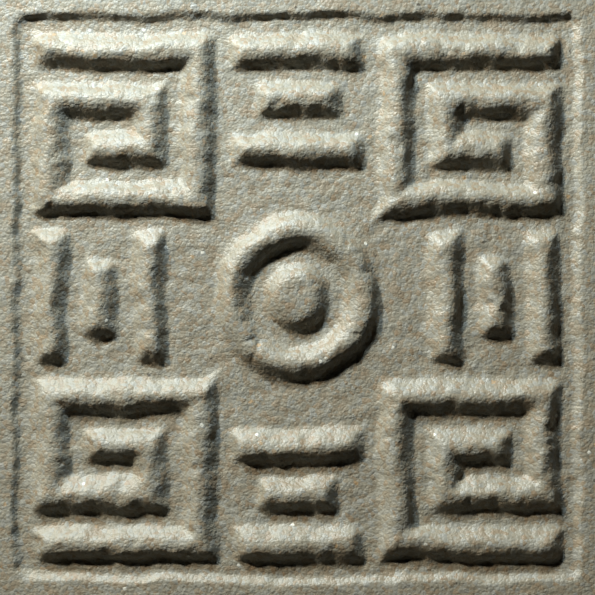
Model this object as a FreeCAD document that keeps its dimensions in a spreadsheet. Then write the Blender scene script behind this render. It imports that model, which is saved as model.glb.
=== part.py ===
# A slab-built clay teapot: beaten wall, base, shoulder and rings luted together, with a lid that lifts off.
# Frame: origin on the table under the middle of the foot, +Z up, spout towards +X, handle towards -X.

import FreeCAD
import Part
import Sketcher

import math
import os

# Driving dimensions, in millimetres, with angles in degrees.
DRIVING = [
    ("foot_radius", "33.0", "outside of the foot ring on the table"),
    ("foot_width", "4.6", "flat of the foot ring, across"),
    ("foot_height", "3.6", "table to the underside of the base"),
    ("foot_edge", "0.8", "rounding of the foot ring's outer edge"),
    ("base_radius", "31.8", "base slab, set into the foot ring"),
    ("base_thickness", "3.2", "base slab"),
    ("waist_radius", "37.0", "outside of the wall where it stands on the foot ring"),
    ("floor_radius", "30.8", "inside of the wall at the floor"),
    ("belly_radius", "47.0", "outside of the wall at its widest"),
    ("belly_height", "27.5", "height of the widest line"),
    ("wall", "3.0", "wall at the belly"),
    ("shoulder_height", "49.5", "seat of the neck ring"),
    ("shoulder_drop", "7.5", "seat of the neck ring down to the wall's top edge"),
    ("shoulder_thickness", "3.0", "shoulder slab at the mouth"),
    ("mouth_radius", "28.4", "opening of the mouth"),
    ("neck_radius", "33.6", "outside of the neck ring"),
    ("neck_height", "2.8", "neck ring"),
    ("bead", "1.0", "bulge of the beads on the neck ring and the lid's rim"),
    ("lid_clearance", "0.25", "between the lid's flange and the mouth, on each side"),
    ("lid_overhang", "0.3", "lid rim beyond the neck ring"),
    ("lid_rim_height", "2.6", "rim of the lid"),
    ("lid_rise", "8.0", "dome of the lid above its rim"),
    ("lid_thickness", "3.2", "dome of the lid at its middle"),
    ("flange_depth", "8.5", "flange below the lid's rim"),
    ("flange_width", "2.8", "flange, across"),
    ("flange_edge", "0.9", "rounding of the flange's lower edges"),
    ("vent_radius", "1.2", "air hole through the knob and the lid"),
    ("knob_neck_radius", "5.4", "knob where it stands on the lid"),
    ("knob_neck_height", "2.2", "straight part of the knob's neck"),
    ("knob_swell", "3.2", "knob's neck up to its widest line"),
    ("knob_radius", "9.4", "knob at its widest"),
    ("knob_crown_radius", "6.0", "flatter top of the knob"),
    ("knob_crown_angle", "24.0", "slope of the top where it meets the side, in degrees"),
    ("spout_projection", "33.0", "belly to the end of the lip"),
    ("spout_root_angle", "32.0", "spout above the level where it leaves the wall, in degrees"),
    ("spout_tip_angle", "62.0", "spout above the level at the lip, in degrees"),
    ("spout_root_pull", "12.0", "how far the root direction carries"),
    ("spout_tip_pull", "15.0", "how far the tip direction carries"),
    ("spout_root_sink", "9.0", "start of the spout's form inside the wall"),
    ("spout_root_tall", "14.5", "half height of the spout's form at its start"),
    ("spout_root_wide", "13.0", "half width of the spout's form at its start"),
    ("spout_tip_radius", "5.7", "outside of the spout at the lip"),
    ("spout_wall", "1.9", "wall of the spout"),
    ("inlet_radius", "7.6", "hole in the body wall behind the spout"),
    ("strainer_radius", "10.2", "outside of the strainer dome"),
    ("strainer_thickness", "1.6", "strainer dome"),
    ("strainer_hole_radius", "0.95", "holes of the strainer"),
    ("handle_projection", "33.0", "belly to the back of the handle"),
    ("handle_top_drop", "6.0", "seat of the neck ring down to the handle's upper joint"),
    ("handle_low_rise", "9.5", "base slab up to the handle's lower joint"),
    ("handle_lift", "20.0", "upward throw of the handle's upper bend"),
    ("handle_fall", "3.0", "downward throw of the handle's lower bend"),
    ("handle_sink", "5.0", "ends of the handle's form inside the wall"),
    ("handle_wide", "10.0", "handle across, at the middle of its back"),
    ("handle_thick", "7.6", "handle through, at the middle of its back"),
    ("handle_taper", "1.8", "how much the handle thins from its upper to its lower half"),
    ("handle_flare", "2.6", "how much the handle widens into its joints"),
    ("seal_side", "24.0", "square sunk panel under the base"),
    ("seal_corner", "0.8", "rounding of the panel's corners"),
    ("seal_depth", "0.3", "depth of the panel"),
    ("seal_stroke_height", "0.55", "raised strokes in the panel"),
    ("seal_stroke_lean", "18.0", "lean of the strokes' sides, in degrees from upright"),
]
SEAL_CELLS = 23  # cells across the panel: one stroke or one gap each
FRET_PATH = ((0, 0), (6, 0), (6, 6), (0, 6), (0, 2), (4, 2), (4, 4), (2, 4))  # cells from the corner
BAR_CELLS = (5, 3, 5)  # lengths of the bars at the middle of each side, from the edge inwards
BOSS_CELLS = (3.5, 2.5, 1.25)  # radii of the ring in the middle and of the boss in it
STRAINER_RINGS = ((0, 1, 0.0), (1, 6, 24.0), (2, 12, 47.0))  # ring, its holes, its angle from the middle
SPOUT_STATIONS = (0.0, 0.2, 0.4, 0.6, 0.8, 1.0)
SPOUT_SLIMMING = 2  # how early the spout gives up its root's size
HANDLE_STATIONS = (0.0, 0.07, 0.18, 0.32, 0.5, 0.68, 0.82, 0.93, 1.0)
FULL_TURN = 360.0


class Size:
    """A length or an angle, with the spreadsheet formula that gives it."""

    def __init__(self, value, formula=None):
        self.value = float(value)
        self.formula = formula or f"({float(value)!r})"

    def __add__(self, other):
        other = as_size(other)
        return Size(self.value + other.value, f"({self.formula} + {other.formula})")

    def __sub__(self, other):
        other = as_size(other)
        return Size(self.value - other.value, f"({self.formula} - {other.formula})")

    def __mul__(self, other):
        other = as_size(other)
        return Size(self.value * other.value, f"({self.formula} * {other.formula})")

    def __truediv__(self, other):
        other = as_size(other)
        return Size(self.value / other.value, f"({self.formula} / {other.formula})")

    def __neg__(self):
        return Size(-self.value, f"(0 - {self.formula})")

    def __rsub__(self, other):
        return as_size(other) - self

    __radd__ = __add__
    __rmul__ = __mul__


def as_size(number):
    return number if isinstance(number, Size) else Size(number)


def root(size):
    return Size(math.sqrt(size.value), f"sqrt({size.formula})")


def sine(angle):
    return Size(math.sin(math.radians(angle.value)), f"sin({angle.formula} * 1 deg)")


def cosine(angle):
    return Size(math.cos(math.radians(angle.value)), f"cos({angle.formula} * 1 deg)")


def heading(across, up):
    degrees = math.degrees(math.atan2(up.value, across.value))
    return Size(degrees, f"(atan2({up.formula}; {across.formula}) / 1 deg)")


def swell_radius(bulge, height):
    """Radius of the arc that leaves its widest point along the axis and falls in by bulge over height."""
    return (bulge * bulge + height * height) / (2 * bulge)


def bead_radius(bulge, height):
    """Radius of the arc that stands out by bulge in the middle of a straight edge of that height."""
    return (bulge * bulge + height * height / 4) / (2 * bulge)


class Sizes:
    """The sheet's driving dimensions, each under its alias."""


def make_sheet(doc):
    sheet = doc.addObject("Spreadsheet::Sheet", "dims")
    sizes = Sizes()
    for row, (alias, number, note) in enumerate(DRIVING, start=1):
        sheet.set(f"A{row}", alias)
        sheet.set(f"B{row}", number)
        sheet.setAlias(f"B{row}", alias)
        sheet.set(f"C{row}", note)
        setattr(sizes, alias, Size(float(number), f"dims.{alias}"))
    doc.recompute()
    return sizes


def new_body(doc, name):
    body = doc.addObject("PartDesign::Body", name)
    body.Label = name
    return body


def origin_feature(body, role):
    return next(feature for feature in body.Origin.OriginFeatures if feature.Role == role)


def new_sketch(body, name, plane):
    sketch = body.newObject("Sketcher::SketchObject", name)
    sketch.AttachmentSupport = [(origin_feature(body, plane), "")]
    sketch.MapMode = "FlatFace"
    return sketch


def lift_sketch(sketch, height):
    sketch.setExpression("AttachmentOffset.Base.z", as_size(height).formula)


def bind(sketch, constraint, size):
    index = sketch.addConstraint(constraint)
    if isinstance(size, Size):
        sketch.setExpression(f"Constraints[{index}]", size.formula)


def fix_point(sketch, geometry, end, across, up):
    """Ties a point to its two distances from the sketch's origin."""
    across, up = as_size(across), as_size(up)
    bind(sketch, Sketcher.Constraint("DistanceX", -1, 1, geometry, end, across.value), across)
    bind(sketch, Sketcher.Constraint("DistanceY", -1, 1, geometry, end, up.value), up)


def arc_middle(start, end, radius, side):
    """A point halfway along the arc of that radius, bulging to the left (+1) or right (-1) of its chord."""
    chord = end - start
    sagitta = radius - math.sqrt(max(radius**2 - (chord.Length / 2) ** 2, 0.0))
    left = FreeCAD.Vector(-chord.y, chord.x, 0).normalize()
    return (start + end) * 0.5 + left * (side * sagitta)


def draw_outline(sketch, corners):
    """Closes a ring of corners (across, up), each joined to the next by a line, or by an arc where the
    corner also gives a radius and the side, +1 left or -1 right, to which the arc bulges."""
    points = [FreeCAD.Vector(as_size(c[0]).value, as_size(c[1]).value, 0) for c in corners]
    first = sketch.GeometryCount
    ends = []
    for index, corner in enumerate(corners):
        start, end = points[index], points[(index + 1) % len(points)]
        if len(corner) == 2:
            geometry = sketch.addGeometry(Part.LineSegment(start, end), False)
        else:
            middle = arc_middle(start, end, as_size(corner[2]).value, corner[3])
            geometry = sketch.addGeometry(Part.ArcOfCircle(start, middle, end), False)
        forward = sketch.getPoint(geometry, 1).distanceToPoint(start) < 1e-6
        ends.append((1, 2) if forward else (2, 1))
    for index in range(len(corners)):
        following = (index + 1) % len(corners)
        joint = (first + index, ends[index][1], first + following, ends[following][0])
        sketch.addConstraint(Sketcher.Constraint("Coincident", *joint))
    for index, corner in enumerate(corners):
        fix_point(sketch, first + index, ends[index][0], corner[0], corner[1])
        if len(corner) > 2:
            radius = as_size(corner[2])
            bind(sketch, Sketcher.Constraint("Radius", first + index, radius.value), radius)


def draw_circle(sketch, across, up, radius):
    across, up, radius = as_size(across), as_size(up), as_size(radius)
    centre = FreeCAD.Vector(across.value, up.value, 0)
    circle = Part.Circle(centre, FreeCAD.Vector(0, 0, 1), radius.value)
    geometry = sketch.addGeometry(circle, False)
    fix_point(sketch, geometry, 3, across, up)
    bind(sketch, Sketcher.Constraint("Radius", geometry, radius.value), radius)


def draw_oval(sketch, thick, wide):
    """An ellipse about the sketch's origin, by its half sizes along the sketch's X and Y axes."""
    along_x = thick.value >= wide.value
    major, minor = (thick, wide) if along_x else (wide, thick)
    tip = FreeCAD.Vector(major.value, 0, 0) if along_x else FreeCAD.Vector(0, major.value, 0)
    side = FreeCAD.Vector(0, minor.value, 0) if along_x else FreeCAD.Vector(-minor.value, 0, 0)
    ellipse = sketch.addGeometry(Part.Ellipse(tip, side, FreeCAD.Vector(0, 0, 0)), False)
    sketch.exposeInternalGeometry(ellipse)
    major_axis, minor_axis = ellipse + 1, ellipse + 2
    sketch.addConstraint(Sketcher.Constraint("Coincident", ellipse, 3, -1, 1))
    sketch.addConstraint(Sketcher.Constraint("PointOnObject", major_axis, 1, -1 if along_x else -2))
    bind(sketch, Sketcher.Constraint("Distance", major_axis, 2 * major.value), 2 * major)
    bind(sketch, Sketcher.Constraint("Distance", minor_axis, 2 * minor.value), 2 * minor)


def revolve(body, kind, sketch, axis="V_Axis"):
    feature = body.newObject(kind, sketch.Name + "_turn")
    feature.Profile = sketch
    feature.ReferenceAxis = (sketch, [axis])
    feature.Angle = FULL_TURN
    return feature


def turned_piece(doc, name, corners):
    """A ring or disc turned about the pot's axis."""
    body = new_body(doc, name)
    sketch = new_sketch(body, name + "_section", "XZ_Plane")
    draw_outline(sketch, corners)
    revolve(body, "PartDesign::Revolution", sketch)
    doc.recompute()
    return body


def round_edges(doc, body, radius, chosen):
    """Rounds the edges of the body's last feature that chosen(edge) picks."""
    base = body.Tip
    names = [f"Edge{n}" for n, edge in enumerate(base.Shape.Edges, start=1) if chosen(edge)]
    fillet = body.newObject("PartDesign::Fillet", body.Name + "_round")
    fillet.Base = (base, names)
    fillet.setExpression("Radius", radius.formula)
    doc.recompute()


def at_height(edge, height):
    return all(abs(vertex.Z - height.value) < 1e-4 for vertex in edge.Vertexes)


class Form:
    """Places and curves that several pieces share."""

    def __init__(self, s):
        self.base_top = s.foot_height + s.base_thickness
        self.foot_inner = s.foot_radius - s.foot_width
        self.wall_top = s.shoulder_height - s.shoulder_drop
        self.ceiling = s.shoulder_height - s.shoulder_thickness
        self.rim = s.shoulder_height + s.neck_height
        self.inner_belly = s.belly_radius - s.wall
        self.low_radius = swell_radius(s.belly_radius - s.waist_radius, s.belly_height - self.base_top)
        self.high_radius = swell_radius(s.belly_radius - s.neck_radius, s.shoulder_height - s.belly_height)
        low_rise = s.belly_height - self.base_top
        high_rise = self.ceiling - s.belly_height
        self.inner_low_radius = swell_radius(self.inner_belly - s.floor_radius, low_rise)
        self.inner_high_radius = swell_radius(self.inner_belly - s.mouth_radius, high_rise)
        self.lid_radius = s.neck_radius + s.lid_overhang
        self.lid_top = self.rim + s.lid_rim_height
        self.dome_edge = self.lid_radius - s.bead
        self.dome_radius = swell_radius(s.lid_rise, self.dome_edge)
        self.flange_outer = s.mouth_radius - s.lid_clearance
        self.flange_inner = self.flange_outer - s.flange_width
        self.spout_reach = s.belly_radius + s.spout_projection
        self.handle_reach = s.belly_radius + s.handle_projection

    def outer_high(self, s, height):
        """Outside of the belly at a height above its widest line."""
        rise = height - s.belly_height
        return s.belly_radius - self.high_radius + root(self.high_radius * self.high_radius - rise * rise)

    def inner_high(self, s, height):
        rise = height - s.belly_height
        inner = self.inner_high_radius
        return self.inner_belly - inner + root(inner * inner - rise * rise)

    def outer_low(self, s, height):
        """Outside of the belly at a height below its widest line."""
        fall = s.belly_height - height
        return s.belly_radius - self.low_radius + root(self.low_radius * self.low_radius - fall * fall)

    def dome_height(self, s, across):
        """Top of the lid's dome at a distance from the axis."""
        centre = self.lid_top + s.lid_rise - self.dome_radius
        return centre + root(self.dome_radius * self.dome_radius - across * across)


def make_foot_ring(doc, s, form):
    cove = swell_radius(s.waist_radius - s.foot_radius, form.base_top - s.foot_edge)
    return turned_piece(doc, "foot_ring", [
        (form.foot_inner, 0),
        (s.foot_radius - s.foot_edge, 0, s.foot_edge, -1),
        (s.foot_radius, s.foot_edge, cove, 1),
        (s.waist_radius, form.base_top),
        (s.base_radius, form.base_top),
        (s.base_radius, s.foot_height),
        (form.foot_inner, s.foot_height),
    ])


def make_body_wall(doc, s, form):
    body = turned_piece(doc, "body_wall", [
        (s.waist_radius, form.base_top, form.low_radius, -1),
        (s.belly_radius, s.belly_height, form.high_radius, -1),
        (form.outer_high(s, form.wall_top), form.wall_top),
        (form.inner_high(s, form.wall_top), form.wall_top, form.inner_high_radius, 1),
        (form.inner_belly, s.belly_height, form.inner_low_radius, 1),
        (s.floor_radius, form.base_top),
    ])
    cut_inlet(doc, body, s, form)
    return body


def make_shoulder_slab(doc, s, form):
    return turned_piece(doc, "shoulder_slab", [
        (form.outer_high(s, form.wall_top), form.wall_top, form.high_radius, -1),
        (s.neck_radius, s.shoulder_height),
        (s.mouth_radius, s.shoulder_height),
        (s.mouth_radius, form.ceiling, form.inner_high_radius, 1),
        (form.inner_high(s, form.wall_top), form.wall_top),
    ])


def make_neck_ring(doc, s, form):
    return turned_piece(doc, "neck_ring", [
        (s.mouth_radius, s.shoulder_height),
        (s.neck_radius - s.bead, s.shoulder_height, bead_radius(s.bead, s.neck_height), -1),
        (s.neck_radius - s.bead, form.rim),
        (s.mouth_radius, form.rim),
    ])


def make_lid_rim(doc, s, form):
    return turned_piece(doc, "lid_rim", [
        (form.flange_inner, form.rim),
        (form.dome_edge, form.rim, bead_radius(s.bead, s.lid_rim_height), -1),
        (form.dome_edge, form.lid_top),
        (form.flange_inner, form.lid_top),
    ])


def make_lid_dome(doc, s, form):
    hollow_rise = s.lid_rise - s.lid_thickness
    hollow = swell_radius(hollow_rise, form.flange_inner)
    fall_at_vent = hollow - root(hollow * hollow - s.vent_radius * s.vent_radius)
    hollow_at_vent = form.lid_top + hollow_rise - fall_at_vent
    return turned_piece(doc, "lid_dome", [
        (s.vent_radius, hollow_at_vent, hollow, 1),
        (form.flange_inner, form.lid_top),
        (form.dome_edge, form.lid_top, form.dome_radius, -1),
        (s.vent_radius, form.dome_height(s, s.vent_radius)),
    ])


def make_lid_flange(doc, s, form):
    low = form.rim - s.flange_depth
    body = turned_piece(doc, "lid_flange", [
        (form.flange_inner, low),
        (form.flange_outer, low),
        (form.flange_outer, form.rim),
        (form.flange_inner, form.rim),
    ])
    round_edges(doc, body, s.flange_edge, lambda edge: at_height(edge, low))
    return body


def make_knob(doc, s, form):
    neck_foot = form.dome_height(s, s.knob_neck_radius)
    neck_top = neck_foot + s.knob_neck_height
    widest = neck_top + s.knob_swell
    side = (s.knob_radius - s.knob_crown_radius) / (1 - sine(s.knob_crown_angle))
    crown_edge = widest + side * cosine(s.knob_crown_angle)
    crown = s.knob_crown_radius / sine(s.knob_crown_angle)
    crown_centre = crown_edge - crown * cosine(s.knob_crown_angle)
    crown_at_vent = crown_centre + root(crown * crown - s.vent_radius * s.vent_radius)
    return turned_piece(doc, "knob", [
        (s.vent_radius, form.dome_height(s, s.vent_radius), form.dome_radius, 1),
        (s.knob_neck_radius, neck_foot),
        (s.knob_neck_radius, neck_top, swell_radius(s.knob_radius - s.knob_neck_radius, s.knob_swell), -1),
        (s.knob_radius, widest, side, -1),
        (s.knob_crown_radius, crown_edge, crown, -1),
        (s.vent_radius, crown_at_vent),
    ])


class Path:
    """A cubic curve in the upright middle plane, through its first and last points."""

    def __init__(self, *points):
        self.points = points

    def mix(self, weights, axis):
        return sum((w * p[axis] for w, p in zip(weights, self.points)), as_size(0))

    def place(self, t):
        weights = ((1 - t) ** 3, 3 * t * (1 - t) ** 2, 3 * t**2 * (1 - t), t**3)
        return self.mix(weights, 0), self.mix(weights, 1)

    def slope(self, t):
        weights = (-((1 - t) ** 2), (1 - t) * (1 - 3 * t), t * (2 - 3 * t), t**2)
        return heading(self.mix(weights, 0), self.mix(weights, 1))


def station_sketch(body, name, place, slope):
    """A sketch through place, facing along slope, in degrees above +X."""
    sketch = new_sketch(body, name, "XY_Plane")
    base = f"create(<<vector>>; {place[0].formula}; 0; {place[1].formula})"
    turn = f"create(<<rotation>>; create(<<vector>>; 0; 1; 0); {(90 - slope).formula})"
    sketch.setExpression("AttachmentOffset", f"create(<<placement>>; {base}; {turn})")
    return sketch


def loft(body, kind, sections):
    feature = body.newObject(kind, sections[0].Name + "_loft")
    feature.Profile = sections[0]
    feature.Sections = sections[1:]
    return feature


def trim_to_pot(doc, body, s, form):
    """Cuts away what lies inside the pot's outside, so that the piece meets the wall face to face."""
    sketch = new_sketch(body, body.Name + "_seat", "XZ_Plane")
    above = form.rim + s.lid_rise
    draw_outline(sketch, [
        (0, form.base_top),
        (s.waist_radius, form.base_top, form.low_radius, -1),
        (s.belly_radius, s.belly_height, form.high_radius, -1),
        (s.neck_radius, s.shoulder_height),
        (s.neck_radius, above),
        (0, above),
    ])
    revolve(body, "PartDesign::Groove", sketch)
    doc.recompute()


def spout_anchor(s, form):
    """Where the spout's line crosses the inside of the wall, and that line's direction."""
    direction = (cosine(s.spout_root_angle), sine(s.spout_root_angle))
    return (form.inner_belly, s.belly_height), direction


def along(point, direction, distance):
    return point[0] + direction[0] * distance, point[1] + direction[1] * distance


def cut_inlet(doc, body, s, form):
    """The round hole behind the spout."""
    anchor, direction = spout_anchor(s, form)
    start = along(anchor, direction, -s.spout_root_sink)
    sketch = station_sketch(body, "inlet", start, s.spout_root_angle)
    draw_circle(sketch, 0, 0, s.inlet_radius)
    pocket = body.newObject("PartDesign::Pocket", "inlet_hole")
    pocket.Profile = sketch
    pocket.Reversed = True
    pocket.setExpression("Length", (2 * s.spout_root_sink + s.wall).formula)
    doc.recompute()


def make_spout(doc, s, form):
    anchor, root_way = spout_anchor(s, form)
    tip_way = (cosine(s.spout_tip_angle), sine(s.spout_tip_angle))
    tip = (form.spout_reach - s.spout_tip_radius / tip_way[1], form.rim)
    path = Path(
        along(anchor, root_way, -s.spout_root_sink),
        along(anchor, root_way, s.spout_root_pull),
        along(tip, tip_way, -s.spout_tip_pull),
        tip,
    )
    stations = [(path.place(t), t * s.spout_tip_angle, (1 - t) ** SPOUT_SLIMMING) for t in SPOUT_STATIONS]
    stations.append((along(tip, tip_way, 2 * s.spout_tip_radius), s.spout_tip_angle, 0.0))
    body = new_body(doc, "spout")
    outside, bore = [], []
    for number, (place, tilt, share) in enumerate(stations):
        tall = s.spout_tip_radius + share * (s.spout_root_tall - s.spout_tip_radius)
        wide = s.spout_tip_radius + share * (s.spout_root_wide - s.spout_tip_radius)
        outside.append(station_sketch(body, f"spout_outside_{number}", place, tilt))
        draw_oval(outside[-1], tall, wide)
        bore.append(station_sketch(body, f"spout_bore_{number}", place, tilt))
        draw_oval(bore[-1], tall - s.spout_wall, wide - s.spout_wall)
    loft(body, "PartDesign::AdditiveLoft", outside)
    doc.recompute()
    trim_to_pot(doc, body, s, form)
    loft(body, "PartDesign::SubtractiveLoft", bore)
    doc.recompute()
    level_lip(doc, body, s, form)
    round_edges(doc, body, s.spout_wall / 3, lambda edge: at_height(edge, form.rim))
    return body


def level_lip(doc, body, s, form):
    """Cuts the spout off level with the pot's mouth."""
    sketch = new_sketch(body, "lip_cut", "XY_Plane")
    lift_sketch(sketch, form.rim)
    half = 2 * s.spout_tip_radius
    draw_outline(sketch, [
        (s.belly_radius, -half),
        (form.spout_reach + half, -half),
        (form.spout_reach + half, half),
        (s.belly_radius, half),
    ])
    pocket = body.newObject("PartDesign::Pocket", "lip_level")
    pocket.Profile = sketch
    pocket.Reversed = True
    pocket.setExpression("Length", (4 * s.spout_tip_radius).formula)
    doc.recompute()


def make_strainer(doc, s, form):
    """A pierced dome inside the wall, over the spout's inlet."""
    anchor, _ = spout_anchor(s, form)
    inside = s.strainer_radius - s.strainer_thickness
    skirt = s.strainer_radius
    body = new_body(doc, "spout_strainer")
    section = new_sketch(body, "dome_section", "XZ_Plane")
    base = f"create(<<vector>>; {anchor[0].formula}; {anchor[1].formula}; 0)"
    turn = f"create(<<rotation>>; create(<<vector>>; 0; 0; 1); {s.spout_root_angle.formula})"
    section.setExpression("AttachmentOffset", f"create(<<placement>>; {base}; {turn})")
    draw_outline(section, [
        (-s.strainer_radius, 0, s.strainer_radius, 1),
        (0, s.strainer_radius),
        (skirt, s.strainer_radius),
        (skirt, inside),
        (0, inside, inside, -1),
        (-inside, 0),
    ])
    revolve(body, "PartDesign::Revolution", section, "H_Axis")
    doc.recompute()
    trim_to_inside(doc, body, s, form)
    pierce_strainer(doc, body, s, anchor, section)
    return body


def trim_to_inside(doc, body, s, form):
    """Cuts the piece off at the inside of the wall, so that it meets the wall face to face."""
    sketch = new_sketch(body, body.Name + "_seat", "XZ_Plane")
    beyond = s.belly_radius + 2 * s.strainer_radius
    above = form.ceiling + 2 * s.strainer_radius
    draw_outline(sketch, [
        (s.floor_radius, form.base_top),
        (beyond, form.base_top),
        (beyond, above),
        (s.mouth_radius, above),
        (s.mouth_radius, form.ceiling, form.inner_high_radius, 1),
        (form.inner_belly, s.belly_height, form.inner_low_radius, 1),
    ])
    revolve(body, "PartDesign::Groove", sketch)
    doc.recompute()


def pierce_strainer(doc, body, s, middle, section):
    """One hole in the middle of the dome, and rings of holes round it, each square to the dome."""
    for ring, count, angle in STRAINER_RINGS:
        hole_sketch = station_sketch(body, f"hole_{ring}", middle, s.spout_root_angle + angle)
        draw_circle(hole_sketch, 0, 0, s.strainer_hole_radius)
        hole = body.newObject("PartDesign::Pocket", f"hole_{ring}_cut")
        hole.Profile = hole_sketch
        hole.setExpression("Length", (s.strainer_radius + s.strainer_thickness).formula)
        doc.recompute()
        if count > 1:
            ring_of_holes = body.newObject("PartDesign::PolarPattern", f"hole_{ring}_ring")
            ring_of_holes.Originals = [hole]
            ring_of_holes.Axis = (section, ["H_Axis"])
            ring_of_holes.Angle = FULL_TURN
            ring_of_holes.Occurrences = count
            body.Tip = ring_of_holes
            doc.recompute()


def stroke_outline(points):
    """Corners of a stroke one cell wide along a path of level and upright runs, in cells."""
    sides = ([], [])
    for index, point in enumerate(points):
        ways = []
        if index > 0:
            ways.append(run_way(points[index - 1], point))
        if index < len(points) - 1:
            ways.append(run_way(point, points[index + 1]))
        if index == 0:
            cap = (-ways[0][0], -ways[0][1])
        elif index == len(points) - 1:
            cap = ways[0]
        else:
            cap = (0, 0)
        left = (-sum(way[1] for way in ways), sum(way[0] for way in ways))
        for side, sign in zip(sides, (1, -1)):
            across = point[0] + (cap[0] + sign * left[0]) / 2
            up = point[1] + (cap[1] + sign * left[1]) / 2
            side.append((across, up))
    return sides[0] + sides[1][::-1]


def run_way(start, end):
    across, up = end[0] - start[0], end[1] - start[1]
    length = abs(across) + abs(up)
    return across / length, up / length


def make_base_slab(doc, s, form):
    body = turned_piece(doc, "base_slab", [
        (0, s.foot_height),
        (s.base_radius, s.foot_height),
        (s.base_radius, form.base_top),
        (0, form.base_top),
    ])
    press_seal(doc, body, s)
    return body


def press_seal(doc, body, s):
    """A square sunk panel under the base: a fret in each corner, bars between them and a ringed boss."""
    cell = s.seal_side / SEAL_CELLS
    half = s.seal_side / 2
    panel = new_sketch(body, "seal_panel", "XY_Plane")
    lift_sketch(panel, s.foot_height)
    draw_outline(panel, [(-half, -half), (half, -half), (half, half), (-half, half)])
    sunk = body.newObject("PartDesign::Pocket", "seal_panel_sunk")
    sunk.Profile = panel
    sunk.Reversed = True
    sunk.setExpression("Length", s.seal_depth.formula)
    doc.recompute()
    round_edges(doc, body, s.seal_corner, is_upright)
    first = 1 - (SEAL_CELLS - 1) // 2
    fret = stroke_outline([(first + across, first + up) for across, up in FRET_PATH])
    fret_pad = raise_strokes(doc, body, s, "fret", [[(x * cell, y * cell) for x, y in fret]])
    mirror_strokes(doc, body, fret_pad)
    bars = []
    for number, length in enumerate(BAR_CELLS):
        low = first + 2 * number - 0.5
        reach = length / 2
        bars.append([(-reach, low), (reach, low), (reach, low + 1), (-reach, low + 1)])
    bar_pad = raise_strokes(doc, body, s, "bars", [[(x * cell, y * cell) for x, y in bar] for bar in bars])
    turn_strokes(doc, body, bar_pad)
    raise_boss(doc, body, s, cell)


def is_upright(edge):
    return isinstance(edge.Curve, Part.Line) and abs(edge.tangentAt(edge.FirstParameter).z) > 0.9


def raise_strokes(doc, body, s, name, outlines):
    """Strokes standing in the panel, with sides that lean inwards."""
    sketch = new_sketch(body, "seal_" + name, "XY_Plane")
    lift_sketch(sketch, s.foot_height + s.seal_depth)
    for outline in outlines:
        draw_outline(sketch, outline)
    pad = body.newObject("PartDesign::Pad", sketch.Name + "_raised")
    pad.Profile = sketch
    pad.Reversed = True
    pad.setExpression("Length", s.seal_stroke_height.formula)
    pad.setExpression("TaperAngle", (-s.seal_stroke_lean).formula)
    doc.recompute()
    return pad


def raise_boss(doc, body, s, cell):
    """A boss in the middle of the panel and a ring round it, with sides that lean like the strokes'."""
    floor = s.foot_height + s.seal_depth
    top = floor - s.seal_stroke_height
    lean = s.seal_stroke_height * sine(s.seal_stroke_lean) / cosine(s.seal_stroke_lean)
    outer, inner, boss = (radius * cell for radius in BOSS_CELLS)
    section = new_sketch(body, "seal_boss", "XZ_Plane")
    draw_outline(section, [(inner, floor), (outer, floor), (outer - lean, top), (inner + lean, top)])
    draw_outline(section, [(0, floor), (boss, floor), (boss - lean, top), (0, top)])
    revolve(body, "PartDesign::Revolution", section)
    doc.recompute()


def mirror_strokes(doc, body, pad):
    """Repeats the strokes in the other three corners."""
    corners = body.newObject("PartDesign::MultiTransform", pad.Name + "_corners")
    corners.Originals = [pad]
    mirrors = []
    for plane in ("YZ_Plane", "XZ_Plane"):
        mirror = body.newObject("PartDesign::Mirrored", f"{pad.Name}_{plane}")
        mirror.MirrorPlane = (origin_feature(body, plane), [""])
        mirrors.append(mirror)
    corners.Transformations = mirrors
    body.Tip = corners
    doc.recompute()


def turn_strokes(doc, body, pad):
    """Repeats the strokes on the other three sides."""
    sides = body.newObject("PartDesign::PolarPattern", pad.Name + "_sides")
    sides.Originals = [pad]
    sides.Axis = (origin_feature(body, "Z_Axis"), [""])
    sides.Angle = FULL_TURN
    sides.Occurrences = 4
    body.Tip = sides
    doc.recompute()


def make_handle(doc, s, form):
    top = s.shoulder_height - s.handle_top_drop
    low = form.base_top + s.handle_low_rise
    top_start = form.outer_high(s, top) - s.handle_sink
    low_end = form.outer_low(s, low) - s.handle_sink
    back = form.handle_reach - s.handle_thick / 2
    throw = (back - (top_start + low_end) / 8) * 4 / 3
    path = Path(
        (-top_start, top),
        (-throw, top + s.handle_lift),
        (-throw, low - s.handle_fall),
        (-low_end, low),
    )
    body = new_body(doc, "handle")
    sections = []
    for number, t in enumerate(HANDLE_STATIONS):
        thinning = s.handle_taper * (0.5 - t)
        flare = s.handle_flare * abs(2 * t - 1) ** 6
        sections.append(station_sketch(body, f"handle_section_{number}", path.place(t), path.slope(t)))
        thick = s.handle_thick + thinning + flare
        wide = s.handle_wide + thinning + flare
        draw_oval(sections[-1], thick / 2, wide / 2)
    loft(body, "PartDesign::AdditiveLoft", sections)
    doc.recompute()
    trim_to_pot(doc, body, s, form)
    return body


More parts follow.
